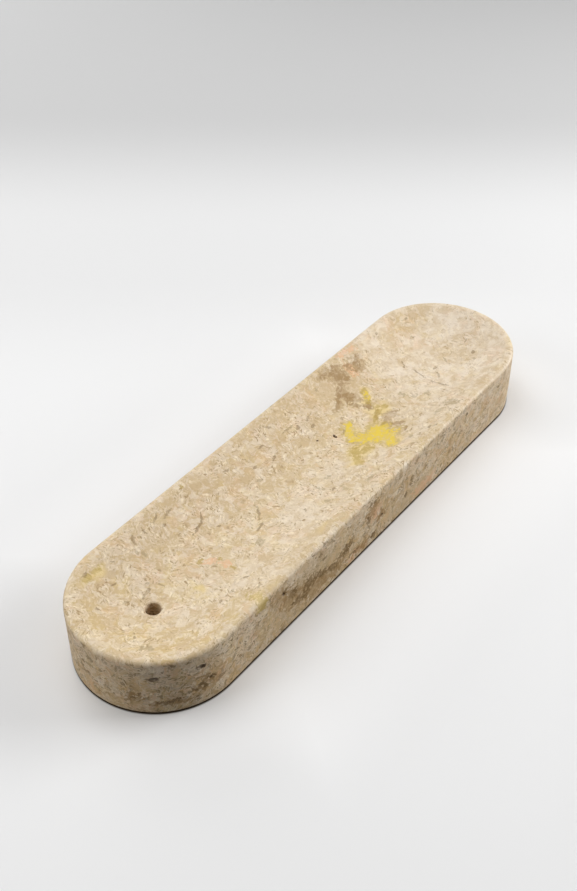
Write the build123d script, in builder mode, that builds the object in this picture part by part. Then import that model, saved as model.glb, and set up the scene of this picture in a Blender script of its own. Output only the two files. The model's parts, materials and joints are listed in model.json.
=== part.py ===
from build123d import *
from math import sqrt
import os

# Incense stick holder: a capsule-shaped block of stone with a shallow ash dish
# ground into its top and one hole for the stick, on four stick-on cork pads.
# Millimetres. +X runs along the length with the stick hole at the -X end, -Y is
# the front long side, +Z is up, and the origin is the middle of the surface
# that the pads stand on.

# Stone block
LENGTH = 230.0
WIDTH = 60.0
STONE_HEIGHT = 24.0
OUTER_ROUND = 1.5
BASE_ROUND = 0.5

# Ash dish: the rim is the outer round, a narrow flat and the inner round
DISH_DEPTH = 6.6
INNER_ROUND = 5.0
RIM_FLAT = 0.3

# Stick hole
HOLE_DIAMETER = 5.5
HOLE_FROM_END = 27.6
HOLE_FLOOR = 6.0
MOUTH_CHAMFER = 0.3

# Cork pads and the glue film on the back of each
PAD_DIAMETER = 12.7
PAD_THICKNESS = 0.7
GLUE_INSET = 0.2
GLUE_THICKNESS = 0.1
PAD_FROM_END = 32.0
PAD_FROM_SIDE = 14.0

# Heights and centres that follow from these
STONE_BOTTOM = PAD_THICKNESS + GLUE_THICKNESS
STONE_TOP = STONE_BOTTOM + STONE_HEIGHT
END_CENTRE_X = (LENGTH - WIDTH) / 2

# Half the dish's width, to the sharp corner that the inner round takes away. The
# round reaches INNER_ROUND * DISH_DEPTH / DISH_HALF_WIDTH out from that corner, to
# the inner edge of the rim's flat.
FLAT_INNER_Y = WIDTH / 2 - OUTER_ROUND - RIM_FLAT
DISH_HALF_WIDTH = (FLAT_INNER_Y + sqrt(FLAT_INNER_Y**2 - 4 * INNER_ROUND * DISH_DEPTH)) / 2
DISH_RADIUS = (DISH_HALF_WIDTH**2 + DISH_DEPTH**2) / (2 * DISH_DEPTH)
DISH_CENTRE_Z = STONE_TOP - DISH_DEPTH + DISH_RADIUS
HOLE_X = -LENGTH / 2 + HOLE_FROM_END
PAD_X = LENGTH / 2 - PAD_FROM_END
PAD_Y = WIDTH / 2 - PAD_FROM_SIDE

os.makedirs("parts", exist_ok=True)

# Stone body
with BuildPart() as stone_body:
    # Block with upright sides, a soft top edge and a fine broken edge underneath
    with BuildSketch(Plane.XY.offset(STONE_BOTTOM)):
        SlotOverall(LENGTH, WIDTH)
    extrude(amount=STONE_HEIGHT)
    fillet(stone_body.faces().sort_by(Axis.Z)[-1].edges(), OUTER_ROUND)
    fillet(stone_body.faces().sort_by(Axis.Z)[0].edges(), BASE_ROUND)

    # Dish: a round trough along the straight run, closed by a ball at each end
    with BuildSketch(Plane.YZ):
        with Locations((0, DISH_CENTRE_Z)):
            Circle(DISH_RADIUS)
    extrude(amount=END_CENTRE_X, both=True, mode=Mode.SUBTRACT)
    with Locations((-END_CENTRE_X, 0, DISH_CENTRE_Z), (END_CENTRE_X, 0, DISH_CENTRE_Z)):
        Sphere(DISH_RADIUS, rotation=(90, 0, 0), mode=Mode.SUBTRACT)
    rim = stone_body.faces().filter_by(Plane.XY).sort_by(Axis.Z)[-1]
    fillet(rim.inner_wires()[0].edges(), INNER_ROUND)

    # Stick hole: blind, straight down, with its mouth just broken
    with Locations((HOLE_X, 0, STONE_TOP)):
        Hole(HOLE_DIAMETER / 2, depth=STONE_HEIGHT - HOLE_FLOOR)
    hole_wall = stone_body.faces(Select.LAST).filter_by(GeomType.CYLINDER).sort_by(SortBy.RADIUS)[0]
    mouth = hole_wall.edges().filter_by(GeomType.LINE, reverse=True).sort_by(Axis.Z)[1:]
    chamfer(mouth, MOUTH_CHAMFER)

stone_body.part.label = "stone_body"
export_step(stone_body.part, "parts/stone_body.step")

# Cork pads and glue films, one pair near each end of each long side
for end_name, end_side in (("hole_end", -1), ("plain_end", 1)):
    for row_name, row_side in (("front", -1), ("back", 1)):
        place = Location((end_side * PAD_X, row_side * PAD_Y, 0))

        with BuildPart() as cork_pad:
            with BuildSketch(Plane(place)):
                Circle(PAD_DIAMETER / 2)
            extrude(amount=PAD_THICKNESS)
        cork_pad.part.label = f"cork_pad_{end_name}_{row_name}"
        export_step(cork_pad.part, f"parts/{cork_pad.part.label}.step")

        with BuildPart() as glue_film:
            with BuildSketch(Plane(place).offset(PAD_THICKNESS)):
                Circle(PAD_DIAMETER / 2 - GLUE_INSET)
            extrude(amount=GLUE_THICKNESS)
        glue_film.part.label = f"glue_film_{end_name}_{row_name}"
        export_step(glue_film.part, f"parts/{glue_film.part.label}.step")
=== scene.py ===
import json
import math
from collections import namedtuple

import bmesh
import bpy
from bpy.props import FloatProperty, FloatVectorProperty, PointerProperty
from bpy.types import Operator, Panel, PropertyGroup
from mathutils import Euler, Matrix, Vector, noise


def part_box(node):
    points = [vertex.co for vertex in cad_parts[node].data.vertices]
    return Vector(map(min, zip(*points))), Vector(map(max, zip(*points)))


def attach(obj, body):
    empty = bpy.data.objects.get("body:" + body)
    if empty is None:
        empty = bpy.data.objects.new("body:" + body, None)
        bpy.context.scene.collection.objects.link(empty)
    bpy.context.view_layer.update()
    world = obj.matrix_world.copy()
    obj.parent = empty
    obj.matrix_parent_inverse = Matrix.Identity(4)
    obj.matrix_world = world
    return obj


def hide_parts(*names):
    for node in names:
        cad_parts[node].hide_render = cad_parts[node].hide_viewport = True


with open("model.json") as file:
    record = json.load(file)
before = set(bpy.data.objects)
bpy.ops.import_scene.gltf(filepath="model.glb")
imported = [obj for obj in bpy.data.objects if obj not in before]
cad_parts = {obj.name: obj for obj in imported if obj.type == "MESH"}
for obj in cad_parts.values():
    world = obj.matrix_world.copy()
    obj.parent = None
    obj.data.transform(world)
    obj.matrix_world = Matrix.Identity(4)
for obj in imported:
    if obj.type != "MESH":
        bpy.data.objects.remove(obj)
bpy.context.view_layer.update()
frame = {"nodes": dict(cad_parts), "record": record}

bl_info = {
    "name": "Incense stick holder",
    "version": (1, 0, 0),
    "blender": (4, 5, 0),
    "location": "View3D > Sidebar > Incense",
    "description": "Dresses a stone incense stick holder: limestone block, cork pads, glue films and stage",
    "category": "Object",
}

MM = 0.001

# What the frame says of the stone and its stick hole, in metres
STONE_LOW, STONE_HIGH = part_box("stone_body")
STONE_WIDTH = STONE_HIGH.y - STONE_LOW.y
END_CENTRE_X = (STONE_HIGH.x - STONE_LOW.x - STONE_WIDTH) / 2
STICK_HOLE = next(m for m in frame["record"]["mounts"] if m["name"] == "stick_hole")
HOLE_RADIUS = STICK_HOLE["dims"]["r_mm"] * MM
HOLE_X, HOLE_Y = STICK_HOLE["pos_m"][:2]

# Half the stone's width and half its straight run in millimetres, for marks and shading
HALF_WIDTH_MM = round(STONE_WIDTH / 2 / MM, 3)
END_CENTRE_MM = round(END_CENTRE_X / MM, 3)

# The four corners where a pad and its glue film sit
PAD_SPOTS = [f"{end}_{row}" for end in ("hole_end", "plain_end") for row in ("front", "back")]

# How finely the stone is drawn. The mesh underneath is coarser by a factor.
UNDER_COARSER = 5
BASE_STEPS = 4
ROUND_STEPS = 8
HOLE_SEGMENTS = 72
PIT_SUBDIVISIONS = 3

# How finely a pad is drawn
PAD_SEGMENTS = 96
PAD_ROUND_STEPS = 3
PAD_GRID = 1.0 * MM

# Edges sharper than these angles, in degrees, are shaded sharp
STONE_BREAK = 35
PAD_BREAK = 40
NO_BREAK = 180

# Lumps per metre in the stone's outline, swell of a pit and its lumps, size of the bites in a pad's edge
WANDER_LUMPS = 40
PIT_SWELL = 0.35
PIT_LUMPS = 1.4
PAD_BITE = 0.9 * MM

# How far the cone that breaks the hole's mouth reaches past it, down and up
CONE_DOWN = 0.5 * MM
CONE_UP = 1.0 * MM


def linear(hex_colour):
    """Linear RGB of an sRGB hex colour."""
    channels = [int(hex_colour[i : i + 2], 16) / 255 for i in (1, 3, 5)]
    return tuple(c / 12.92 if c <= 0.04045 else ((c + 0.055) / 1.055) ** 2.4 for c in channels)


def length_setting(name, description, millimetres):
    """A length that a user can change, given in millimetres and kept in metres."""
    return FloatProperty(
        name=name, description=description, default=millimetres * MM, min=0, unit="LENGTH", precision=5
    )


def place_setting(name, description, place):
    """A place that a user can change, in metres."""
    return FloatVectorProperty(
        name=name, description=description, default=place, size=3, subtype="TRANSLATION", unit="LENGTH"
    )


def colour_setting(name, description, hex_colour):
    """A colour that a user can change."""
    return FloatVectorProperty(
        name=name, description=description, default=linear(hex_colour), min=0, max=1, size=3, subtype="COLOR"
    )


def level_setting(name, description, value):
    """A plain number without a unit."""
    return FloatProperty(name=name, description=description, default=value, min=0)


class IncenseStoneSettings(PropertyGroup):
    """Sizes and colours of the stone block."""

    outer_round: length_setting("Outer round", "Round of the rim's outer edge", 1.5)
    rim_flat: length_setting("Rim flat", "Flat left between the rim's two rounds", 0.3)
    inner_round: length_setting("Inner round", "Round where the rim turns into the dish", 5.0)
    dish_depth: length_setting("Dish depth", "Depth of the dish below the rim", 6.6)
    base_round: length_setting("Base round", "Broken edge round the underside", 0.5)
    mouth_chamfer: length_setting("Mouth chamfer", "Broken edge of the stick hole", 0.3)
    hole_floor: length_setting("Hole floor", "Stone left under the stick hole", 6.0)
    wander: length_setting("Wander", "How far the hand-ground outline strays inwards", 0.12)
    grid: length_setting("Grid", "Spacing of the mesh over the stone", 1.0)

    beige: colour_setting("Beige", "Ground colour of the limestone", "#D0BA94")
    tan: colour_setting("Tan", "Warm, darker clouds", "#C5AC85")
    pale: colour_setting("Pale", "Pale, greyer clouds", "#E5D7C4")
    cream: colour_setting("Cream", "Small pale flecks and fibres", "#F2E3C5")
    fleck: colour_setting("Fleck", "Dark fibres on the top", "#9B7E4F")
    brown: colour_setting("Brown", "Brown patches on the walls", "#9B7845")
    umber: colour_setting("Umber", "Grey-brown vein across the dish", "#9A7C50")
    straw: colour_setting("Straw", "Soft edge of the ochre patch, and warm clouds", "#DFC680")
    yellow: colour_setting("Yellow", "Core of the ochre patch", "#E3C638")
    olive: colour_setting("Olive", "Fringe of the ochre patch and small stains", "#B2974A")
    peach: colour_setting("Peach", "Pinkish stains", "#DFB189")
    grey: colour_setting("Grey", "Grey-green fossil marks", "#9B8863")
    dash: colour_setting("Dash", "Short dark cracks and dark crumbs", "#785D31")
    # Pit: painted shade, a dark colour laid into the open pits where shade falls
    pit: colour_setting("Pit", "Dust in the open pits", "#493013")
    russet: colour_setting("Russet", "Warm cast of the sides, cut across the bedding", "#D1A668")
    roughness: level_setting("Roughness", "Roughness of the honed face", 0.5)


class IncensePadSettings(PropertyGroup):
    """Sizes and colours of the pads and their glue."""

    edge_round: length_setting("Edge round", "Softened edge of a punched pad", 0.12)
    edge_wander: length_setting("Edge wander", "How far the punched edge strays inwards", 0.1)
    granule: length_setting("Granule", "Size of a cork granule", 1.1)
    cork_light: colour_setting("Light cork", "Pale granules", "#C79A68")
    cork_dark: colour_setting("Dark cork", "Dark granules and binder", "#7A5233")
    glue: colour_setting("Glue", "Film of glue", "#D9CDB4")


class IncenseStageSettings(PropertyGroup):
    """Floor, light and camera."""

    floor_reach: length_setting("Floor reach", "Half the side of the square floor", 6000)
    floor: colour_setting("Floor", "Floor round the object", "#EBEBEB")
    # Near: painted light, a paler floor by the long sides that lightens the object's shadow there
    painted_near_light: colour_setting("Near", "Floor close to the long sides", "#F7F7F7")
    # Middle and backdrop on the floor: painted shade, the floor greyer away from the camera where the lamps'
    # light falls off
    middle: colour_setting("Middle", "Floor a little behind the object", "#E2E2E2")
    backdrop: colour_setting("Backdrop", "Floor far behind the object", "#C9C9C9")
    # Foot: painted shadow, a dark floor colour under the object's edge that draws a shadow line at its base
    foot: colour_setting("Foot", "Floor under the object, a dark line at its foot", "#43382C")
    bounce: colour_setting("Bounce", "Floor as the object's sides see it", "#9A9A9A")
    fill: level_setting("Fill", "Strength of the light from all round", 0.125)
    under: level_setting("Under", "Strength of the light from below, for a look at the underside", 0.6)
    overhead: level_setting("Overhead", "Power of the softbox above, in watts", 2.0)
    slanted: level_setting("Slanted", "Power of the softbox above the back, in watts", 2.0)
    right: level_setting("Right", "Power of the softbox on the right, in watts", 5.4)
    left: level_setting("Left", "Power of the softbox on the left, in watts", 2.6)
    behind: level_setting("Behind", "Power of the softbox behind, in watts", 1.4)
    camera_place: place_setting("Camera", "Where the camera stands", (-0.26391, -0.19074, 0.30919))
    camera_target: place_setting("Target", "What the camera looks at", (0.01990, 0.02727, 0.0))
    lens: FloatProperty(
        name="Lens", description="Focal length on a 36 mm long side", default=48.03, unit="CAMERA"
    )


# The stone's own markings, and painted shade in its pits, placed from the photo, in mm and degrees

Mark = namedtuple("Mark", "place radii turn lean")

# Marks lie at multiples of this angle, so that they can share a few turned frames
TURN_STEP = 15
HOLE_END_TURN = -30

# The height of marks in the dish, and how deep marks go into the stone
DISH_MARK_HEIGHT = 20
DISH_MARK_DEPTH = 14
WALL_MARK_DEPTH = 6


def stepped(angle):
    """An angle in degrees, taken to the nearest step."""
    return TURN_STEP * round(angle / TURN_STEP)


def on_top(x, y, long, wide, turn=0, z=DISH_MARK_HEIGHT, depth=DISH_MARK_DEPTH):
    """A mark in the dish or on the rim, turned about the upright axis."""
    return Mark((x, y, z), (long, wide, depth), stepped(turn), 0)


def on_front(x, z, long, high, lean=0, depth=WALL_MARK_DEPTH):
    """A mark on the front long side. A positive lean takes its +X end down."""
    return Mark((x, -HALF_WIDTH_MM, z), (long, depth, high), 0, stepped(lean))


def on_hole_end(angle, z, long, high, lean=0, depth=WALL_MARK_DEPTH):
    """A mark on the round wall by the stick hole, by its direction from the middle of that round."""
    way = math.radians(angle)
    x = HALF_WIDTH_MM * math.cos(way) - END_CENTRE_MM
    y = HALF_WIDTH_MM * math.sin(way)
    return Mark((x, y, z), (long, depth, high), HOLE_END_TURN, stepped(lean))


def each(maker, *rows):
    """Marks of one kind, one from each row of values."""
    return tuple(maker(*row) for row in rows)


# A row gives a mark's place on its face, its two radii there, and its turn or lean where it has one

TAN_CLOUDS = each(
    on_top, (-30, 18, 62, 14), (-84, 16, 24, 12), (-93, -21, 16, 9), (-103, 0, 8, 12), (22, 21, 24, 9),
    (47, 20, 14, 9), (90, 21, 14, 6), (37, -8, 7, 6),
)
PALE_CLOUDS = each(
    on_top, (-5, -9, 13, 7), (-30, -13, 15, 8), (-66, -16, 10, 5), (-93, 5.5, 5, 1.6, -25),
    (86, -17, 17, 9), (62, 4, 16, 12), (100, -2, 14, 14), (50, -16, 10, 8),
)
STRAW_CLOUDS = each(
    on_top, (-96, -20, 13, 9), (-101, -4, 9, 9), (-84, -22, 10, 6), (-104, 10, 6, 8),
)
STRAW_HALO = each(
    on_top, (28, -9, 8, 6.5), (24, 0, 4.5, 4.5), (16.5, -9.5, 6, 4), (10.5, -12.5, 3.5, 3),
    (41, 0, 5.5, 3.5), (44.5, 7, 2.8, 4.5, -35), (27, -16, 5, 3), (-92, 22.5, 6, 2),
    (-73, -6.6, 4, 1.8, -63), (-30, -25, 4.5, 2.2),
) + each(
    on_front, (-67.6, 23.4, 3, 2.4),
)
UMBER_WASH = each(
    on_top, (45, 22, 5.5, 5.5), (41, 25.5, 5, 2.5), (39.5, 11, 4.2, 4.8), (56, 20.5, 5, 3, 30),
    (40.5, 16.5, 4, 2.5, 30), (41, 3.5, 2.5, 2.2, 35), (37, -11, 3.5, 2, -35), (40.5, -6, 4, 2.5, 15),
    (32, 12, 4, 2, 35),
)
UMBER_VEIN = each(
    on_top, (45.3, 22, 3.2, 2.6), (46.6, 18.9, 1.8, 1.2), (57, 21.6, 4, 1.2, 30), (55, 19.8, 3, 1.4, 15),
    (51.8, 21.8, 1.2, 2), (38.2, 16.8, 3, 0.9, 30), (34.8, 14.4, 3, 0.8, 35), (31.5, 12, 2, 0.7, 30),
    (37.6, 8, 2.9, 0.9, -65), (39.5, 12.5, 2.5, 2), (40.5, 3.6, 2.2, 1, 40), (38.5, -1.2, 3, 1, 30),
    (37.8, -11.2, 2.6, 0.9, -45), (36, -16, 1.4, 0.6, 35), (43.5, 24, 2.5, 0.8, 20),
    (47.5, 25, 2.2, 0.7, -15), (40, 25.2, 2.4, 0.7, 15), (42, 18, 2.4, 0.8, 30),
)
BROWN_PATCHES = each(
    on_front, (-30, 7, 9, 3.5), (-38, 8, 8, 4.5, 15), (-46, 10, 8, 5, 30), (-54, 14, 6, 4.5, 45),
    (-59, 18, 4, 4, 45), (-21, 11, 4.5, 2.2, -25), (0.5, 10.8, 3.4, 2.4), (-5, 18, 4, 2.6, -30),
    (-12, 4.5, 5, 1.8),
) + each(
    on_hole_end, (254, 11.5, 3.2, 1.8, 30), (246, 8.5, 3.2, 1.8, 30), (233, 5.8, 4.5, 1.5, 15),
    (221, 5.2, 3.5, 1.3), (205, 8, 3, 1.4, -30),
)
TAN_STAINS = each(
    on_top, (-30, -25, 4, 2.2), (102.5, 18, 3, 2.5), (75, -25.5, 4.5, 2), (-102, 5, 3.5, 4),
    (-95, -21.5, 4, 3), (88, 22, 2, 2.5), (40, 18, 14, 9),
) + each(
    on_front, (-42, 11, 26, 9), (20, 6, 16, 4),
)
YELLOW_PATCH = each(
    on_top, (24, -6.3, 3.4, 3), (29.3, -7.6, 2.4, 2.4), (32.2, -8.2, 2.8, 3.4), (27.5, -10, 3.6, 2.4),
    (30, -13.3, 4.2, 2.4), (26, -16.5, 2.8, 1.7, 25), (23.6, 1.2, 2.2, 2.6, -20), (21.8, -2.4, 2, 2.2),
    (26.2, 3.6, 1.8, 1.2, 30), (45.6, 9.4, 1.1, 0.9), (44.2, 7, 1.5, 0.6, 45),
)
OLIVE_STAINS = each(
    on_top, (18.5, -10.5, 3, 1.8), (15, -7.5, 2.6, 2.4), (12.2, -10.8, 1.7, 1.7), (9.8, -13, 1.6, 1.5),
    (36.5, -2.2, 2.6, 1.1, 25), (40, -0.8, 2.6, 1.2), (42.4, 1.2, 1.7, 1.1, 20), (44.4, -0.8, 1.6, 1),
    (43, 5.8, 2.4, 1, 45), (44.9, 8, 2, 1, 45), (46.3, 10.3, 1.9, 1), (34.2, -6.6, 1.6, 1),
    (-94, 22.4, 2.3, 1), (-89.4, 23, 2.4, 1), (-62.2, 1.6, 1.3, 0.7), (-57.3, -3, 0.7, 1),
    (-58, -9.4, 0.6, 1), (-43.5, 26.4, 0.8, 1.1),
) + each(
    on_front, (-67.6, 23, 2.4, 2.2),
)
PEACH_STAINS = each(
    on_top, (-59.4, -1.2, 2.4, 1.1, -50), (-58, -6, 1.1, 2.2), (57, 27, 5, 1.4), (52, 20, 2, 4),
) + each(
    on_front, (29, 4.6, 8, 2), (-4, 16, 4, 3), (-14, 4, 7, 1.6),
)
GREY_MARKS = each(
    on_top, (-74.3, 18.8, 1.2, 0.7), (-72.7, 17.2, 0.8, 1), (-67.8, -17.2, 1.3, 0.7),
    (-103.3, -12, 1.4, 2, 35), (-9.2, -9.3, 0.8, 1.4), (-3, -8, 1.6, 1), (-5.5, -17, 1, 2, -30),
    (31.5, -21, 1.6, 0.8), (50, -21.5, 2, 1.1), (57.3, -23, 2, 3), (55, -2.5, 1.3, 1.6),
    (56.3, -6.8, 1.7, 0.9, -25), (60.6, -10.8, 1.6, 1.2, 35), (-43, -9, 2, 1.2, 35), (-14.3, -17, 0.8, 1.6),
    (87.5, 14, 1.2, 0.9), (3, -22.5, 2, 1),
)
DARK_DASHES = each(
    on_top, (-91.2, 8, 0.9, 0.45, -40), (-84, 6.1, 2.1, 0.45, 8), (-80.8, 8.4, 0.6, 0.4),
    (-78.3, 4.6, 1.3, 0.4, -70), (-100.5, 12, 0.6, 0.4), (-88.8, 15.8, 1, 0.4, -20),
    (-83, 22, 0.8, 0.4, -40), (-71.6, 22.8, 1.6, 0.6, 65), (-66.5, 22.8, 0.9, 0.35, -70),
    (-60.2, 23.6, 2.3, 0.3, 35), (-55.2, 22.6, 2, 0.4, 8), (-59.3, 20.4, 0.7, 0.5),
    (-51.5, 11.8, 3.6, 0.4, 22), (-47.5, 13.8, 2, 0.35, 38), (-32.3, 0.4, 2.9, 0.45, 41),
    (-37, -4, 2.2, 0.45, 15), (-44.3, 4.3, 0.7, 0.4, 60), (-46, 7.3, 0.9, 0.35, -30),
    (-15.8, 15.2, 0.9, 0.5), (-19, 10.5, 1.2, 0.6, -20), (-7, 13.2, 1.3, 0.4, 20), (-24.8, 21, 0.9, 0.4),
    (-6.8, 19.6, 1, 0.4), (1.9, 23.7, 1.6, 0.5, -40), (7.5, 18.4, 2.6, 0.4, 5), (11.4, 16.2, 1.2, 0.45, 35),
    (18.3, 16.7, 2, 0.4, 15), (16.6, 13, 1.1, 0.7), (27.7, 7.4, 1, 0.5, 35), (32, 22.8, 0.7, 0.45, 30),
    (-94, 23.7, 1.1, 0.4, 15), (-101.6, -5.2, 0.8, 0.35, 40), (-103, -6.5, 0.6, 0.35, 20),
    (-60, -16.6, 1.2, 0.45, -25), (-62, -23.6, 1.8, 0.35, 35), (-73.5, -16.7, 0.8, 0.5),
    (-7.5, -14, 1.1, 0.35, 35), (-22, -12.3, 0.8, 0.4, 30), (39, -24.7, 0.9, 0.45, 20),
    (40, -26.2, 1.1, 0.5, -20), (68.7, -10, 0.4, 4, 4), (70.3, -0.5, 0.35, 3, -12),
    (73.9, -7, 1.6, 0.35, 48), (77.4, -3.4, 1.1, 0.5, 15), (84.6, -3.7, 1.6, 0.4, 38),
    (71.2, 8, 1.9, 0.35, 45), (93.5, 21.4, 0.8, 0.45, -30), (76, 24.8, 0.7, 0.4, 20), (94, -11, 1, 0.7, 35),
    (90.2, -13.8, 0.9, 0.35, 35), (99, -4.6, 1, 0.35, 25), (22.4, 2.7, 1.3, 0.5, 30),
)
DARK_CRUMBS = each(
    on_front, (-22, 10.5, 4.2, 2, -15), (-29.5, 8.3, 3, 1.6, 15), (-34.5, 17.2, 1.8, 0.9),
    (-36, 11, 3, 1.8, 30), (-42.5, 12, 3, 3.2, 45), (-45.5, 8.5, 3, 1.6), (-52, 15, 2.2, 2, 45),
    (-56.8, 19, 1.3, 1.3, 45), (-50, 9.5, 2.6, 1.2), (-6, 21, 2.6, 0.8), (-4.5, 4.3, 2.4, 1.2),
    (-17, 5.2, 3, 0.7), (-8, 14, 1.2, 2.4), (20, 13, 1, 2.2), (16.5, 8.5, 1, 1.4), (58, 20, 1.5, 0.7),
    (82, 18.6, 1.4, 0.6),
) + each(
    on_hole_end, (255, 11.8, 1.6, 1.2, 30), (249, 9.4, 2.2, 1, 30), (242, 8.6, 1.8, 0.9),
    (232, 6.6, 1.8, 0.9), (225, 5.8, 2.2, 0.8), (207, 8.6, 2, 0.6, -45), (232, 22.6, 0.7, 0.7),
    (241, 22.4, 0.9, 0.7),
)
# Painted shade: dark colour laid into the open pits, where shade falls
PIT_SHADE = each(
    on_top, (17.9, 3.6, 0.95, 0.5, 75), (11.7, 7.1, 0.45, 0.4),
) + each(
    on_hole_end, (248.6, 18.4, 1.8, 1.1), (218.8, 17.4, 1.8, 0.9),
) + each(
    on_front, (0.4, 10.8, 0.8, 0.5), (-57.2, 18.8, 0.7, 0.7),
)

# Open pits in the stone, cut as shapes
OPEN_PITS = (
    on_top(17.9, 3.6, 1.0, 0.55, 75, z=18.3, depth=0.9), on_top(11.7, 7.1, 0.45, 0.4, z=18.6, depth=0.4),
    on_top(87.6, 14.0, 0.6, 0.45, z=20.0, depth=0.4), on_hole_end(248.6, 18.4, 1.5, 0.9, 15, depth=1.1),
    on_hole_end(218.8, 17.4, 1.7, 0.8, -15, depth=1.1), on_hole_end(254, 11.4, 0.9, 0.6, depth=0.6),
    on_front(-57.2, 18.8, 0.7, 0.8, depth=0.5), on_front(0.4, 10.8, 0.8, 0.6, depth=0.5),
    on_front(-20.4, 10.9, 0.7, 0.4, depth=0.4),
)

# Clouds of the ground: colour and strength
CLOUDS = (
    (TAN_CLOUDS, "tan", 1.0),
    (STRAW_CLOUDS, "straw", 0.55),
    (STRAW_CLOUDS, "brown", 0.25),
    (PALE_CLOUDS, "pale", 0.55),
)

# The shares of the radii where clouds and the halo round the ochre patch start and are full
CLOUD_EDGE = (1.3, 0.4)
HALO_EDGE = (1.5, 0.3)
HALO_STRENGTH = 0.6

# Mottles: colour, how their place is bent, size in mm, noise levels where they start and are full, and their
# strength on the top and on the sides
MOTTLES = (
    ("tan", "drifted", 11, 0.45, 0.6, 0.6, 0.4),
    ("pale", "drifted", 7, 0.46, 0.62, 0.38, 0.35),
    ("peach", "drifted", 8, 0.5, 0.65, 0.25, 0.4),
    ("straw", "drifted", 9, 0.5, 0.65, 0.25, 0.25),
    ("tan", "ragged", 3.6, 0.48, 0.6, 0.45, 0.55),
    ("pale", "ragged", 2.9, 0.5, 0.62, 0.42, 0.45),
    ("brown", "ragged", 4.4, 0.52, 0.62, 0.1, 0.45),
    ("cream", "ragged", 1.9, 0.54, 0.64, 0.34, 0.5),
)

# Fibres: the three ways that they lie, in degrees, with their length and width in mm
FIBRES = ((35, 3.8, 0.75), (-48, 3.2, 0.7), (80, 2.6, 0.65))

# Noise levels where dark and pale fibres start and are full, and how strong the pale ones are
FIBRE_DARK = (0.54, 0.68)
FIBRE_PALE = (0.46, 0.32)
PALE_STRENGTH = 0.75

# Strength of fibres from thin to thick places, and from the lively to the calm end, and that of dark crumbs
FIBRE_PLACES = (0.25, 0.9)
FIBRE_ENDS = (1.0, 0.6)
CRUMB_STRENGTH = 0.6

# Marks: colour, the shares of the radii where they start and are full, strength, how far a fine mottle breaks
# their edge up, and whether their outline is ragged or firm
MARK_GROUPS = (
    (TAN_STAINS, "tan", 1.6, 0.3, 0.7, 0.9, "ragged"),
    (PEACH_STAINS, "peach", 1.7, 0.4, 0.75, 0.9, "ragged"),
    (BROWN_PATCHES, "brown", 1.7, 0.3, 0.85, 1.2, "ragged"),
    (UMBER_WASH, "umber", 1.7, 0.2, 0.55, 0.8, "ragged"),
    (UMBER_VEIN, "umber", 1.7, 0.4, 0.85, 0.8, "firm"),
    (YELLOW_PATCH, "olive", 2.2, 1.0, 0.6, 1.2, "ragged"),
    (OLIVE_STAINS, "olive", 1.8, 0.4, 0.8, 1.0, "firm"),
    (YELLOW_PATCH, "yellow", 1.6, 0.4, 0.9, 1.1, "ragged"),
    (GREY_MARKS, "grey", 1.7, 0.3, 0.6, 1.4, "firm"),
    (DARK_DASHES, "dash", 1.9, 0.4, 0.6, 0.7, "firm"),
    (DARK_CRUMBS, "dash", 1.7, 0.3, 0.95, 1.3, "firm"),
    # Painted shade in the open pits
    (PIT_SHADE, "pit", 1.5, 0.6, 0.85, 0.2, "firm"),
)

# How far into a mark its colour starts and is full, before and after its edge is broken up, and its strength
# from thin to thick places
MARK_EDGE = (0.0, 0.3)
BROKEN_EDGE = (0.3, 0.75)
MARK_PLACES = (0.55, 1.0)

# Further than any place is from a mark, in radii of that mark
FAR_OFF = 100.0

# Where the stone turns pale and calm along its length and where painted light makes its walls paler upwards,
# in mm, and the upward share of the normal where the top turns into a side
CALM_RUN = (45, 75)
LIT_UPPER_WALL = (13, 23)
SIDE_TURN = (0.8, 0.3)

# Strengths of the wide tones
CALM_PALE = 0.75
SIDE_RUSSET = 0.55
# Strength of the painted light on the upper walls
UPPER_PAINTED_LIGHT = 0.2

# Scraps of shell sand: size in mm, strength, and the tones where they turn pale and dark
SCRAP_SIZE = 3.0
SCRAP_STRENGTH = 0.35
SCRAP_PALE = (0.55, 0.95)
SCRAP_DARK = (0.45, 0.05)

# Where the floor goes from none to all of a tone, in mm past the stone's outline
# The near band lays painted light on the floor by the long sides, over the object's shadow
NEAR_LIGHT_END = (15, 60)
# The foot band lays the painted shadow line on the floor under the object's edge
FOOT_SHADOW_BAND = (0.3, -0.4)
WINDOW_BAND = (-1, -2)

# The same in mm from the middle: along the length, away from the camera, and in all directions
# Along the length, the painted light by the long sides stops short of the ends
NEAR_LIGHT_RUN = (70, 105)
# The middle and backdrop bands grey the floor away from the camera as painted shade
MIDDLE_SHADE_BAND = (60, 160)
BACKDROP_SHADE_BAND = (200, 335)
FADE_BAND = (600, 1000)

# How far below the horizon the light from below is full, as the height of its direction
UNDER_FULL = -0.2

# Softboxes: compass direction and angle above the floor in degrees, distance and side in metres
SOFTBOXES = {
    "overhead": (90, 90, 0.9, 0.9),
    "slanted": (90, 70, 0.9, 0.6),
    "right": (322, 25, 0.8, 0.5),
    "left": (140, 25, 0.8, 0.5),
    "behind": (68, 25, 0.8, 0.5),
}

# Long side of the camera's sensor in mm
SENSOR = 36


# Scene and mesh helpers


def put(name, data):
    """Puts a mesh, light or camera in the scene as an object."""
    thing = bpy.data.objects.new(name, data)
    bpy.context.scene.collection.objects.link(thing)
    return thing


def facing(place, way, axis="Z"):
    """The matrix of something at a place with one of its axes along a direction."""
    return Matrix.Translation(place) @ way.to_track_quat(axis, "Y").to_matrix().to_4x4()


def make_piece(name, mesh, material, node):
    """Puts a mesh in the scene as a piece of the object that stands for a CAD node."""
    mesh.materials.clear()
    mesh.materials.append(material)
    piece = put(name, mesh)
    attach(piece, "root")
    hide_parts(node)
    return piece


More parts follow.
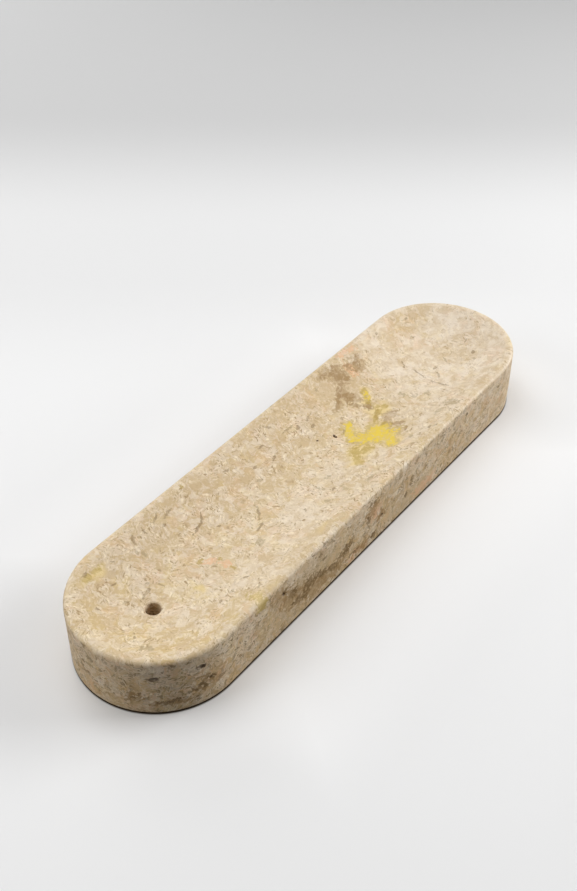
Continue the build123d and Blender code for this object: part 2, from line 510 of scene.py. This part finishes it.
def finish_mesh(mesh, name, break_angle):
    """A mesh from a bmesh, smooth but for edges sharper than the break angle, in degrees."""
    data = bpy.data.meshes.new(name)
    bmesh.ops.recalc_face_normals(mesh, faces=mesh.faces)
    mesh.to_mesh(data)
    mesh.free()
    smooth(data, break_angle)
    return data


def smooth(data, break_angle):
    """Smooth shading that breaks at edges sharper than an angle in degrees."""
    data.polygons.foreach_set("use_smooth", [True] * len(data.polygons))
    data.set_sharp_from_angle(angle=math.radians(break_angle))
    data.update()


def arc(centre, radius, start, end, steps):
    """Points on an arc of a section, with angles in degrees from straight out, upwards."""
    points = []
    for i in range(steps + 1):
        turn = math.radians(start + (end - start) * i / steps)
        points.append((centre[0] + radius * math.cos(turn), centre[1] + radius * math.sin(turn)))
    return points


def run(start, end, spacing):
    """Evenly spaced points from start up to but not including end."""
    steps = max(1, round(math.dist(start, end) / spacing))
    return [tuple(a + (b - a) * i / steps for a, b in zip(start, end)) for i in range(steps)]


def skin(mesh, rings):
    """Faces between neighbouring rings of vertices. Corners that fall together are merged."""
    for lower, upper in zip(rings, rings[1:]):
        for i in range(len(lower)):
            j = (i + 1) % len(lower)
            mesh.faces.new(dict.fromkeys((lower[i], lower[j], upper[j], upper[i])))


# Stone body


def dish_shape(stone):
    """Half width of the dish to its sharp corner, radius of its floor, and height of that radius's centre."""
    flat_inner = STONE_WIDTH / 2 - stone.outer_round - stone.rim_flat
    half_width = (flat_inner + math.sqrt(flat_inner**2 - 4 * stone.inner_round * stone.dish_depth)) / 2
    radius = (half_width**2 + stone.dish_depth**2) / (2 * stone.dish_depth)
    return half_width, radius, STONE_HIGH.z - stone.dish_depth + radius


def stone_section(stone):
    """Half section of the block as (distance from the centre line, height), from underneath to the dish."""
    edge = STONE_WIDTH / 2
    bottom, top = STONE_LOW.z, STONE_HIGH.z
    half_width, radius, centre_z = dish_shape(stone)
    slope = math.degrees(math.asin(half_width / radius))
    flat_inner = edge - stone.outer_round - stone.rim_flat
    under = run((0, bottom), (edge - stone.base_round, bottom), stone.grid * UNDER_COARSER)
    base = arc((edge - stone.base_round, bottom + stone.base_round), stone.base_round, -90, 0, BASE_STEPS)
    side = run(base[-1], (edge, top - stone.outer_round), stone.grid)
    outer = arc((edge - stone.outer_round, top - stone.outer_round), stone.outer_round, 0, 90, ROUND_STEPS)
    inner = arc((flat_inner, top - stone.inner_round), stone.inner_round, 90, 90 + slope, ROUND_STEPS)
    steps = round(inner[-1][0] / stone.grid)
    reaches = [inner[-1][0] * (1 - i / steps) for i in range(1, steps + 1)]
    dish = [(reach, centre_z - math.sqrt(radius**2 - reach**2)) for reach in reaches]
    return under + base + side[1:] + outer + inner + dish


def outline_columns(spacing):
    """Round the plan as (x of the nearest point of the centre line, direction out from it in degrees)."""
    straight = round(2 * END_CENTRE_X / spacing)
    bend = round(math.pi * STONE_WIDTH / 2 / spacing)
    columns = []
    for side in (1, -1):
        columns += [(side * END_CENTRE_X * (1 - 2 * i / straight), -90 * side) for i in range(straight)]
        columns += [(-side * END_CENTRE_X, -90 * side - 180 * i / bend) for i in range(bend)]
    return columns


def sweep_stone(stone):
    """The block without its hole: its half section carried round the capsule plan, a little unevenly."""
    mesh = bmesh.new()
    columns = outline_columns(stone.grid)
    centre_line = {}
    rings = []
    for reach, height in stone_section(stone):
        ring = []
        for x, direction in columns:
            turn = math.radians(direction)
            out = Vector((math.cos(turn), math.sin(turn), 0))
            place = Vector((x, 0, height)) + reach * out
            if reach == 0:
                key = (round(x, 6), height)
                if key not in centre_line:
                    centre_line[key] = mesh.verts.new(place)
                ring.append(centre_line[key])
                continue
            lump = 0.5 + 0.5 * noise.noise(place * WANDER_LUMPS)
            stray = stone.wander * lump * reach / (STONE_WIDTH / 2)
            ring.append(mesh.verts.new(place - stray * out))
        rings.append(ring)
    skin(mesh, rings)
    return finish_mesh(mesh, "stone_block", STONE_BREAK)


def add_lump(mesh, mark, seed):
    """An uneven pebble, used to cut a pit out of the stone."""
    made = bmesh.ops.create_icosphere(mesh, subdivisions=PIT_SUBDIVISIONS, radius=1)
    place = Vector(mark.place) * MM
    shape = Matrix.LocRotScale(place, turn_of(mark), Vector(mark.radii) * MM)
    for vert in made["verts"]:
        swell = 1 + PIT_SWELL * noise.noise(vert.co * PIT_LUMPS + Vector((seed, 0, 0)))
        vert.co = shape @ (vert.co * swell)


def add_hole(mesh, stone):
    """The drill for the stick hole, and a cone square to the dish that breaks its mouth."""
    _, radius, centre_z = dish_shape(stone)
    beyond = min(0.0, HOLE_X + END_CENTRE_X)
    mouth = Vector((HOLE_X, HOLE_Y, centre_z - math.sqrt(radius**2 - beyond**2)))
    floor_z = STONE_LOW.z + stone.hole_floor
    drill = bmesh.ops.create_cone(
        mesh, cap_ends=True, segments=HOLE_SEGMENTS, radius1=HOLE_RADIUS, radius2=HOLE_RADIUS,
        depth=STONE_HIGH.z - floor_z
    )
    bmesh.ops.translate(mesh, verts=drill["verts"], vec=(HOLE_X, HOLE_Y, (STONE_HIGH.z + floor_z) / 2))
    below, above = -CONE_DOWN - stone.mouth_chamfer, CONE_UP
    square_to_dish = facing(mouth, Vector((-END_CENTRE_X, HOLE_Y, centre_z)) - mouth)
    bmesh.ops.create_cone(
        mesh, cap_ends=True, segments=HOLE_SEGMENTS, radius1=HOLE_RADIUS + stone.mouth_chamfer + below,
        radius2=HOLE_RADIUS + stone.mouth_chamfer + above, depth=above - below,
        matrix=square_to_dish @ Matrix.Translation((0, 0, (above + below) / 2))
    )


def build_stone_mesh(stone):
    """The finished stone: swept block, stick hole and open pits."""
    cutter = bmesh.new()
    add_hole(cutter, stone)
    for seed, pit in enumerate(OPEN_PITS):
        add_lump(cutter, pit, seed)
    block = put("stone_block", sweep_stone(stone))
    cutter_object = put("stone_cutter", finish_mesh(cutter, "stone_cutter", NO_BREAK))
    cut = block.modifiers.new("cut", "BOOLEAN")
    cut.operation = "DIFFERENCE"
    cut.solver = "EXACT"
    cut.use_self = True
    cut.object = cutter_object
    finished = bpy.data.meshes.new_from_object(block.evaluated_get(bpy.context.evaluated_depsgraph_get()))
    for helper in (block, cutter_object):
        spare = helper.data
        bpy.data.objects.remove(helper)
        bpy.data.meshes.remove(spare)
    finished.name = "limestone_block"
    smooth(finished, STONE_BREAK)
    return finished


# Material helpers


def add(tree, kind, inputs=None, **settings):
    """Adds a node with its settings, and sets or links its inputs."""
    node = tree.nodes.new(kind)
    for name, value in settings.items():
        setattr(node, name, value)
    for key, value in (inputs or {}).items():
        if isinstance(value, bpy.types.NodeSocket):
            tree.links.new(value, node.inputs[key])
        else:
            node.inputs[key].default_value = value
    return node


def number(tree, operation, *values):
    """The result of a calculation with numbers."""
    return add(tree, "ShaderNodeMath", dict(enumerate(values)), operation=operation).outputs[0]


def vector(tree, operation, *values):
    """The result of a calculation with vectors: a vector, or a number for a length, distance or product."""
    node = add(tree, "ShaderNodeVectorMath", dict(enumerate(values)), operation=operation)
    return node.outputs["Value" if operation in ("LENGTH", "DISTANCE", "DOT_PRODUCT") else "Vector"]


def times(tree, first, second):
    """The product of two shares."""
    return number(tree, "MULTIPLY", first, second)


def between(tree, share, low, high):
    """A value that goes evenly from low to high with a share."""
    return add(tree, "ShaderNodeMapRange", {"Value": share, "To Min": low, "To Max": high}).outputs[0]


def ramp(tree, value, low, high):
    """A value taken smoothly from 0 at low to 1 at high."""
    return add(
        tree, "ShaderNodeMapRange", {"Value": value, "From Min": low, "From Max": high},
        interpolation_type="SMOOTHSTEP"
    ).outputs[0]


def tint(tree, below, above, share):
    """A colour laid over another by a share."""
    mix = add(tree, "ShaderNodeMix", {"Factor": share}, data_type="RGBA")
    for socket, colour in ((mix.inputs[6], below), (mix.inputs[7], above)):
        if isinstance(colour, bpy.types.NodeSocket):
            tree.links.new(colour, socket)
        else:
            socket.default_value = (*colour, 1)
    return mix.outputs[2]


def new_material(name):
    """An empty node material, as (material, node tree, shader)."""
    material = bpy.data.materials.new(name)
    material.use_nodes = True
    tree = material.node_tree
    tree.nodes.clear()
    shader = add(tree, "ShaderNodeBsdfPrincipled")
    add(tree, "ShaderNodeOutputMaterial", {"Surface": shader.outputs["BSDF"]})
    return material, tree, shader


def millimetres(tree):
    """The place on the object, in millimetres."""
    place = add(tree, "ShaderNodeTexCoord").outputs["Object"]
    return add(tree, "ShaderNodeVectorMath", {0: place, "Scale": 1 / MM}, operation="SCALE").outputs[0]


def warped(tree, place, size, reach):
    """A place pushed about by noise: lumps of a size in mm push it by up to a reach in mm."""
    lumps = add(tree, "ShaderNodeTexNoise", {"Vector": place, "Scale": 1 / size, "Detail": 2})
    centred = vector(tree, "SUBTRACT", lumps.outputs["Color"], (0.5,) * 3)
    return vector(tree, "MULTIPLY_ADD", centred, (2 * reach,) * 3, place)


def blotches(tree, place, size, low, high, detail=3):
    """Noise blotches of a size in mm, as a share from 0 to 1."""
    settings = {"Vector": place, "Scale": 1 / size, "Detail": detail, "Roughness": 0.6}
    return ramp(tree, add(tree, "ShaderNodeTexNoise", settings).outputs["Fac"], low, high)


def flecks(tree, place, turn, long, wide):
    """Noise drawn out along a direction in the plan, in degrees: fibres of a length and a width in mm."""
    drawn = {"Vector": place, "Rotation": (0, 0, math.radians(turn)), "Scale": (long, wide, wide)}
    along = add(tree, "ShaderNodeMapping", drawn, vector_type="TEXTURE").outputs[0]
    return add(tree, "ShaderNodeTexNoise", {"Vector": along, "Scale": 1, "Detail": 2.5}).outputs["Fac"]


def turn_of(mark):
    """The rotation of a mark's own axes."""
    return Euler((0, math.radians(mark.lean), math.radians(mark.turn)))


def turned_frames(tree, place, groups):
    """The place as seen along the axes of the marks, once for each way that marks are turned."""
    frames = {}
    for mark in (mark for marks in groups for mark in marks):
        if (mark.turn, mark.lean) not in frames:
            frames[mark.turn, mark.lean] = add(
                tree, "ShaderNodeMapping", {"Vector": place, "Rotation": turn_of(mark)}, vector_type="TEXTURE"
            ).outputs[0]
    return frames


def marked(tree, frames, marks, outside, inside):
    """How far a place is into any mark: 0 beyond the outside share of its radii, 1 within the inside one."""
    nearest = FAR_OFF
    for mark in marks:
        shrink = Vector(1 / radius for radius in mark.radii)
        centre = turn_of(mark).to_matrix().transposed() @ Vector(mark.place)
        local = vector(tree, "MULTIPLY_ADD", frames[mark.turn, mark.lean], shrink, -centre * shrink)
        nearest = number(tree, "MINIMUM", vector(tree, "LENGTH", local), nearest)
    return ramp(tree, nearest, outside, inside)


# Limestone, built up from its ground to the single marks


def side_share(tree):
    """1 on the upright sides and 0 on the top and underneath."""
    normal = add(tree, "ShaderNodeNewGeometry").outputs["Normal"]
    upright = add(tree, "ShaderNodeSeparateXYZ", {"Vector": normal}).outputs["Z"]
    return ramp(tree, number(tree, "ABSOLUTE", upright), *SIDE_TURN)


def clouded_ground(tree, stone, clouds, calm, side):
    """Beige with soft clouds, warmer on the sides, which are cut across the bedding."""
    colour = tint(tree, stone.beige, stone.pale, times(tree, calm, CALM_PALE))
    for marks, tone, strength in CLOUDS:
        share = times(tree, marked(tree, clouds, marks, *CLOUD_EDGE), strength)
        colour = tint(tree, colour, getattr(stone, tone), share)
    return tint(tree, colour, stone.russet, times(tree, side, SIDE_RUSSET))


def mottled(tree, stone, colour, places, side):
    """A colour with the stone's mottles over it."""
    for tone, bent, size, low, high, on_flat, on_side in MOTTLES:
        strength = between(tree, side, on_flat, on_side)
        share = times(tree, blotches(tree, places[bent], size, low, high), strength)
        colour = tint(tree, colour, getattr(stone, tone), share)
    return colour


def sanded(tree, stone, colour, places):
    """A colour with shell sand over it: scraps of a few millimetres, each a little paler or darker."""
    cells = {"Vector": places["ragged"], "Scale": 1 / SCRAP_SIZE}
    scraps = add(tree, "ShaderNodeTexVoronoi", cells).outputs["Color"]
    tone = add(tree, "ShaderNodeSeparateColor", {"Color": scraps}).outputs[0]
    colour = tint(tree, colour, stone.pale, times(tree, ramp(tree, tone, *SCRAP_PALE), SCRAP_STRENGTH))
    return tint(tree, colour, stone.tan, times(tree, ramp(tree, tone, *SCRAP_DARK), SCRAP_STRENGTH))


def fibrous(tree, stone, colour, places, calm, side):
    """A colour with dark and pale fibres over it, thick here and thin there, and dark crumbs on the sides."""
    combed = warped(tree, warped(tree, places["plain"], size=5, reach=3), size=1.6, reach=0.7)
    one, two, three = [flecks(tree, combed, *lie) for lie in FIBRES]
    patch = blotches(tree, places["drifted"], size=8, low=0.44, high=0.56, detail=1)
    other_patch = blotches(tree, places["plain"], size=6, low=0.44, high=0.56, detail=1)
    lying = add(tree, "ShaderNodeMix", {"Factor": patch, "A": one, "B": two}).outputs[0]
    fibres = add(tree, "ShaderNodeMix", {"Factor": other_patch, "A": lying, "B": three}).outputs[0]
    busy = blotches(tree, places["drifted"], size=7, low=0.4, high=0.6, detail=2)
    thick = between(tree, busy, *FIBRE_PLACES)
    thin = between(tree, calm, *FIBRE_ENDS)
    share = times(tree, thick, thin)
    crumbs = blotches(tree, places["ragged"], size=2.3, low=0.54, high=0.64)
    crumbs = times(tree, crumbs, times(tree, side, thin))
    colour = tint(tree, colour, stone.dash, times(tree, crumbs, CRUMB_STRENGTH))
    dark = tint(tree, stone.fleck, stone.dash, side)
    colour = tint(tree, colour, dark, times(tree, ramp(tree, fibres, *FIBRE_DARK), share))
    pale_share = times(tree, times(tree, share, PALE_STRENGTH), ramp(tree, fibres, *FIBRE_PALE))
    return tint(tree, colour, stone.cream, pale_share)


def with_marks(tree, stone, colour, places, frames):
    """A colour with the marks that can be told apart in the photo, their edges broken up by a fine mottle."""
    fine = blotches(tree, places["plain"], size=1.3, low=0.3, high=0.7)
    uneven = number(tree, "SUBTRACT", fine, 0.5)
    shaded = between(tree, blotches(tree, places["ragged"], size=2.6, low=0.4, high=0.6), *MARK_PLACES)
    for marks, tone, outside, inside, strength, breaking, edge in MARK_GROUPS:
        into = marked(tree, frames[edge], marks, outside, inside)
        broken = number(tree, "MULTIPLY_ADD", uneven, breaking, into)
        share = times(tree, ramp(tree, broken, *BROKEN_EDGE), ramp(tree, into, *MARK_EDGE))
        share = times(tree, times(tree, share, strength), shaded)
        colour = tint(tree, colour, getattr(stone, tone), share)
    return colour


def limestone(stone):
    """Honed beige fossil limestone: clouds, pale and tan fibres, a grey-brown vein and an ochre patch."""
    material, tree, shader = new_material("honed_fossil_limestone")
    plain = millimetres(tree)
    places = {
        "plain": plain,
        "drifted": warped(tree, plain, size=9, reach=7),
        "ragged": warped(tree, warped(tree, plain, size=5, reach=3), size=1.3, reach=1.6),
        "firm": warped(tree, plain, size=1.6, reach=0.8),
    }
    drift = add(tree, "ShaderNodeSeparateXYZ", {"Vector": places["drifted"]})
    calm = ramp(tree, drift.outputs["X"], *CALM_RUN)
    clouds = turned_frames(tree, places["drifted"], (TAN_CLOUDS, PALE_CLOUDS, STRAW_CLOUDS, STRAW_HALO))
    frames = {
        edge: turned_frames(tree, places[edge], [group[0] for group in MARK_GROUPS if group[-1] == edge])
        for edge in ("ragged", "firm")
    }
    side = side_share(tree)

    colour = clouded_ground(tree, stone, clouds, calm, side)
    colour = mottled(tree, stone, colour, places, side)
    # Painted light: the walls are drawn paler towards the top, as if lit more there
    upper = times(tree, side, ramp(tree, drift.outputs["Z"], *LIT_UPPER_WALL))
    colour = tint(tree, colour, stone.pale, times(tree, upper, UPPER_PAINTED_LIGHT))
    colour = sanded(tree, stone, colour, places)
    colour = fibrous(tree, stone, colour, places, calm, side)
    halo = marked(tree, clouds, STRAW_HALO, *HALO_EDGE)
    colour = tint(tree, colour, stone.straw, times(tree, halo, HALO_STRENGTH))
    colour = with_marks(tree, stone, colour, places, frames)
    tree.links.new(colour, shader.inputs["Base Color"])

    shader.inputs["IOR"].default_value = 1.5
    shader.inputs["Roughness"].default_value = stone.roughness
    grain = add(tree, "ShaderNodeTexNoise", {"Vector": plain, "Scale": 1.2, "Detail": 3}).outputs["Fac"]
    relief = add(tree, "ShaderNodeBump", {"Height": grain, "Strength": 0.2, "Distance": 0.05 * MM})
    tree.links.new(relief.outputs[0], shader.inputs["Normal"])
    return material


# Cork pads and glue films


def pad_mesh(pads, spot):
    """A punched disc with softened, slightly uneven edges, inside the CAD pad."""
    low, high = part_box(f"cork_pad_{spot}")
    centre = (low + high) / 2
    radius = (high.x - low.x) / 2
    inner = radius - pads.edge_round
    section = run((0, low.z), (inner, low.z), PAD_GRID)
    section += arc((inner, low.z + pads.edge_round), pads.edge_round, -90, 0, PAD_ROUND_STEPS)
    section += arc((inner, high.z - pads.edge_round), pads.edge_round, 0, 90, PAD_ROUND_STEPS)
    section += run((inner, high.z), (0, high.z), PAD_GRID)[1:] + [(0, high.z)]
    mesh = bmesh.new()
    rings = []
    for reach, height in section:
        middle = Vector((centre.x, centre.y, height))
        if reach == 0:
            rings.append([mesh.verts.new(middle)] * PAD_SEGMENTS)
            continue
        ring = []
        for i in range(PAD_SEGMENTS):
            turn = 2 * math.pi * i / PAD_SEGMENTS
            out = Vector((math.cos(turn), math.sin(turn), 0))
            bite = pads.edge_wander * (0.5 + 0.5 * noise.noise((centre + radius * out) / PAD_BITE))
            ring.append(mesh.verts.new(middle + (reach - bite * reach / radius) * out))
        rings.append(ring)
    skin(mesh, rings)
    return finish_mesh(mesh, f"pad_{spot}", PAD_BREAK)


def pressed_cork(pads):
    """Pressed cork: small brown granules of uneven tone with a dark binder between them."""
    material, tree, shader = new_material("pressed_cork")
    place = warped(tree, millimetres(tree), size=1.0, reach=0.25)
    cells = {"Vector": place, "Scale": MM / pads.granule}
    granule = add(tree, "ShaderNodeTexVoronoi", cells)
    seam = add(tree, "ShaderNodeTexVoronoi", cells, feature="DISTANCE_TO_EDGE").outputs["Distance"]
    tone = add(tree, "ShaderNodeSeparateColor", {"Color": granule.outputs["Color"]}).outputs[0]
    colour = tint(tree, pads.cork_light, pads.cork_dark, times(tree, tone, 0.6))
    colour = tint(tree, pads.cork_dark, colour, ramp(tree, seam, 0.0, 0.1))
    tree.links.new(colour, shader.inputs["Base Color"])
    shader.inputs["Roughness"].default_value = 0.85
    relief = add(tree, "ShaderNodeBump", {"Height": seam, "Strength": 0.5, "Distance": 0.1 * MM})
    tree.links.new(relief.outputs[0], shader.inputs["Normal"])
    return material


def glue_film(pads):
    """Pressure-sensitive glue: a milky film with faint streaks."""
    material, tree, shader = new_material("glue_film")
    streaks = blotches(tree, millimetres(tree), size=2.0, low=0.35, high=0.7)
    colour = tint(tree, pads.glue, [0.8 * c for c in pads.glue], streaks)
    tree.links.new(colour, shader.inputs["Base Color"])
    shader.inputs["Roughness"].default_value = 0.35
    return material


# Stage


def add_softbox(name, direction, height_angle, distance, side, power):
    """A square softbox that faces the object, unseen by the camera."""
    light = bpy.data.lights.new(name, "AREA")
    light.size = side
    light.energy = power
    lamp = put(name, light)
    turn, rise = math.radians(direction), math.radians(height_angle)
    way = Vector((math.cos(turn) * math.cos(rise), math.sin(turn) * math.cos(rise), math.sin(rise)))
    lamp.matrix_world = facing(way * distance, way)
    lamp.visible_camera = False


def past_stone(tree, place, x):
    """How far a place on the floor is outside the stone's outline, in mm."""
    nearest_x = number(tree, "MAXIMUM", number(tree, "MINIMUM", x, END_CENTRE_MM), -END_CENTRE_MM)
    spine = add(tree, "ShaderNodeCombineXYZ", {"X": nearest_x}).outputs[0]
    return number(tree, "SUBTRACT", vector(tree, "DISTANCE", place, spine), HALF_WIDTH_MM)


def floor_material(stage):
    """Matt white paper with painted light and shade: painted paler by the object's long sides, painted greyer
    far behind it, and a painted shadow line at the object's foot.
    """
    material, tree, shader = new_material("matt_white_paper")
    place = millimetres(tree)
    x = add(tree, "ShaderNodeSeparateXYZ", {"Vector": place}).outputs["X"]
    outside = past_stone(tree, place, x)
    away = (stage.camera_target.xy - stage.camera_place.xy).normalized()
    distance = vector(tree, "DOT_PRODUCT", place, (away.x, away.y, 0))
    # Painted light: the floor is drawn paler by the long sides, over the object's shadow, but not past its
    # ends
    past_ends = ramp(tree, number(tree, "ABSOLUTE", x), *NEAR_LIGHT_RUN)
    plain = number(tree, "MAXIMUM", ramp(tree, outside, *NEAR_LIGHT_END), past_ends)
    seen = tint(tree, stage.painted_near_light, stage.floor, plain)
    # Painted shade: the floor is drawn greyer away from the camera, where the lamps' light falls off
    seen = tint(tree, seen, stage.middle, ramp(tree, distance, *MIDDLE_SHADE_BAND))
    seen = tint(tree, seen, stage.backdrop, ramp(tree, distance, *BACKDROP_SHADE_BAND))
    # Painted shadow: the floor is drawn dark under the object's edge
    seen = tint(tree, seen, stage.foot, ramp(tree, outside, *FOOT_SHADOW_BAND))
    camera_ray = add(tree, "ShaderNodeLightPath").outputs["Is Camera Ray"]
    tree.links.new(tint(tree, stage.bounce, seen, camera_ray), shader.inputs["Base Color"])
    shader.inputs["Roughness"].default_value = 1.0
    shader.inputs["Specular IOR Level"].default_value = 0.0

    # Clear from below, for light that goes to the underside of the stone, and far away, where it fades
    other_ray = number(tree, "SUBTRACT", 1.0, camera_ray)
    window = times(tree, ramp(tree, outside, *WINDOW_BAND), other_ray)
    faded = times(tree, ramp(tree, vector(tree, "LENGTH", place), *FADE_BAND), camera_ray)
    open_share = add(tree, "ShaderNodeNewGeometry").outputs["Backfacing"]
    for share in (window, faded):
        open_share = number(tree, "MAXIMUM", open_share, share)
    clear = add(tree, "ShaderNodeBsdfTransparent")
    both = add(tree, "ShaderNodeMixShader", {0: open_share, 1: shader.outputs[0], 2: clear.outputs[0]})
    output = next(node for node in tree.nodes if node.type == "OUTPUT_MATERIAL")
    tree.links.new(both.outputs[0], output.inputs["Surface"])
    return material


def build_world(stage):
    """Low light from all round, stronger from below, and a pale backdrop for what the camera sees of it."""
    world = bpy.data.worlds.new("studio")
    bpy.context.scene.world = world
    world.use_nodes = True
    tree = world.node_tree
    tree.nodes.clear()
    rays = add(tree, "ShaderNodeLightPath")
    way = add(tree, "ShaderNodeTexCoord").outputs["Generated"]
    upward = add(tree, "ShaderNodeSeparateXYZ", {"Vector": way}).outputs["Z"]
    levels = {"From Min": UNDER_FULL, "From Max": 0.0, "To Min": stage.under, "To Max": stage.fill}
    level = add(tree, "ShaderNodeMapRange", {"Value": upward, **levels}).outputs[0]
    fill = add(tree, "ShaderNodeBackground", {"Color": (1, 1, 1, 1), "Strength": level})
    pale = add(tree, "ShaderNodeBackground", {"Color": (*stage.backdrop, 1), "Strength": 1})
    seen = rays.outputs["Is Camera Ray"]
    for kind in ("Is Glossy Ray", "Is Transmission Ray"):
        seen = number(tree, "MAXIMUM", seen, rays.outputs[kind])
    mix = add(tree, "ShaderNodeMixShader", {0: seen, 1: fill.outputs[0], 2: pale.outputs[0]})
    add(tree, "ShaderNodeOutputWorld", {"Surface": mix.outputs[0]})


class INCENSE_OT_stone(Operator):
    """Build the limestone block with its dish, stick hole and pits"""

    bl_idname = "incense.stone"
    bl_label = "Stone body"

    def execute(self, context):
        stone = context.scene.incense_stone
        make_piece("limestone_block", build_stone_mesh(stone), limestone(stone), "stone_body")
        return {"FINISHED"}


class INCENSE_OT_pads(Operator):
    """Build the four punched cork pads under the stone"""

    bl_idname = "incense.pads"
    bl_label = "Cork pads"

    def execute(self, context):
        pads = context.scene.incense_pads
        material = pressed_cork(pads)
        for spot in PAD_SPOTS:
            make_piece(f"punched_pad_{spot}", pad_mesh(pads, spot), material, f"cork_pad_{spot}")
        return {"FINISHED"}


class INCENSE_OT_glue(Operator):
    """Give the four glue films between pads and stone their look"""

    bl_idname = "incense.glue"
    bl_label = "Glue films"

    def execute(self, context):
        material = glue_film(context.scene.incense_pads)
        for spot in PAD_SPOTS:
            film = frame["nodes"][f"glue_film_{spot}"]
            film.data.materials.clear()
            film.data.materials.append(material)
        return {"FINISHED"}


class INCENSE_OT_stage(Operator):
    """Build the pale floor, the soft light and the camera"""

    bl_idname = "incense.stage"
    bl_label = "Stage"

    def execute(self, context):
        stage = context.scene.incense_stage
        scene = context.scene
        reach = stage.floor_reach
        corners = [(-reach, -reach, 0), (reach, -reach, 0), (reach, reach, 0), (-reach, reach, 0)]
        sheet = bpy.data.meshes.new("floor")
        sheet.from_pydata(corners, [], [(0, 1, 2, 3)])
        sheet.materials.append(floor_material(stage))
        floor = put("floor", sheet)

        build_world(stage)
        for name, placing in SOFTBOXES.items():
            add_softbox(f"softbox_{name}", *placing, getattr(stage, name))

        lens = bpy.data.cameras.new("camera")
        lens.lens = stage.lens
        lens.sensor_width = SENSOR
        camera = put("camera", lens)
        camera.matrix_world = facing(stage.camera_place, stage.camera_target - stage.camera_place, "-Z")
        scene.camera = camera
        scene.view_settings.view_transform = "Standard"
        return {"FINISHED"}


class INCENSE_PT_builder(Panel):
    """Sidebar panel with one button for each piece and the stage, and all the settings"""

    bl_idname = "INCENSE_PT_builder"
    bl_label = "Incense stick holder"
    bl_space_type = "VIEW_3D"
    bl_region_type = "UI"
    bl_category = "Incense"

    def draw(self, context):
        for operator in OPERATORS:
            self.layout.operator(operator.bl_idname)
        for group in (getattr(context.scene, name) for name in SETTINGS):
            for name in group.bl_rna.properties.keys():
                if name not in ("rna_type", "name"):
                    self.layout.prop(group, name)


SETTINGS = {
    "incense_stone": IncenseStoneSettings,
    "incense_pads": IncensePadSettings,
    "incense_stage": IncenseStageSettings,
}
OPERATORS = (INCENSE_OT_stone, INCENSE_OT_pads, INCENSE_OT_glue, INCENSE_OT_stage)
CLASSES = (*SETTINGS.values(), *OPERATORS, INCENSE_PT_builder)


def register():
    """Registers the classes and hangs the settings on the scene."""
    for cls in CLASSES:
        bpy.utils.register_class(cls)
    for name, group in SETTINGS.items():
        setattr(bpy.types.Scene, name, PointerProperty(type=group))


def unregister():
    """Takes the settings off the scene and unregisters the classes."""
    for name in SETTINGS:
        delattr(bpy.types.Scene, name)
    for cls in reversed(CLASSES):
        bpy.utils.unregister_class(cls)


def main():
    register()
    bpy.ops.incense.stone()
    bpy.ops.incense.pads()
    bpy.ops.incense.glue()
    bpy.ops.incense.stage()


if __name__ == "__main__":
    main()
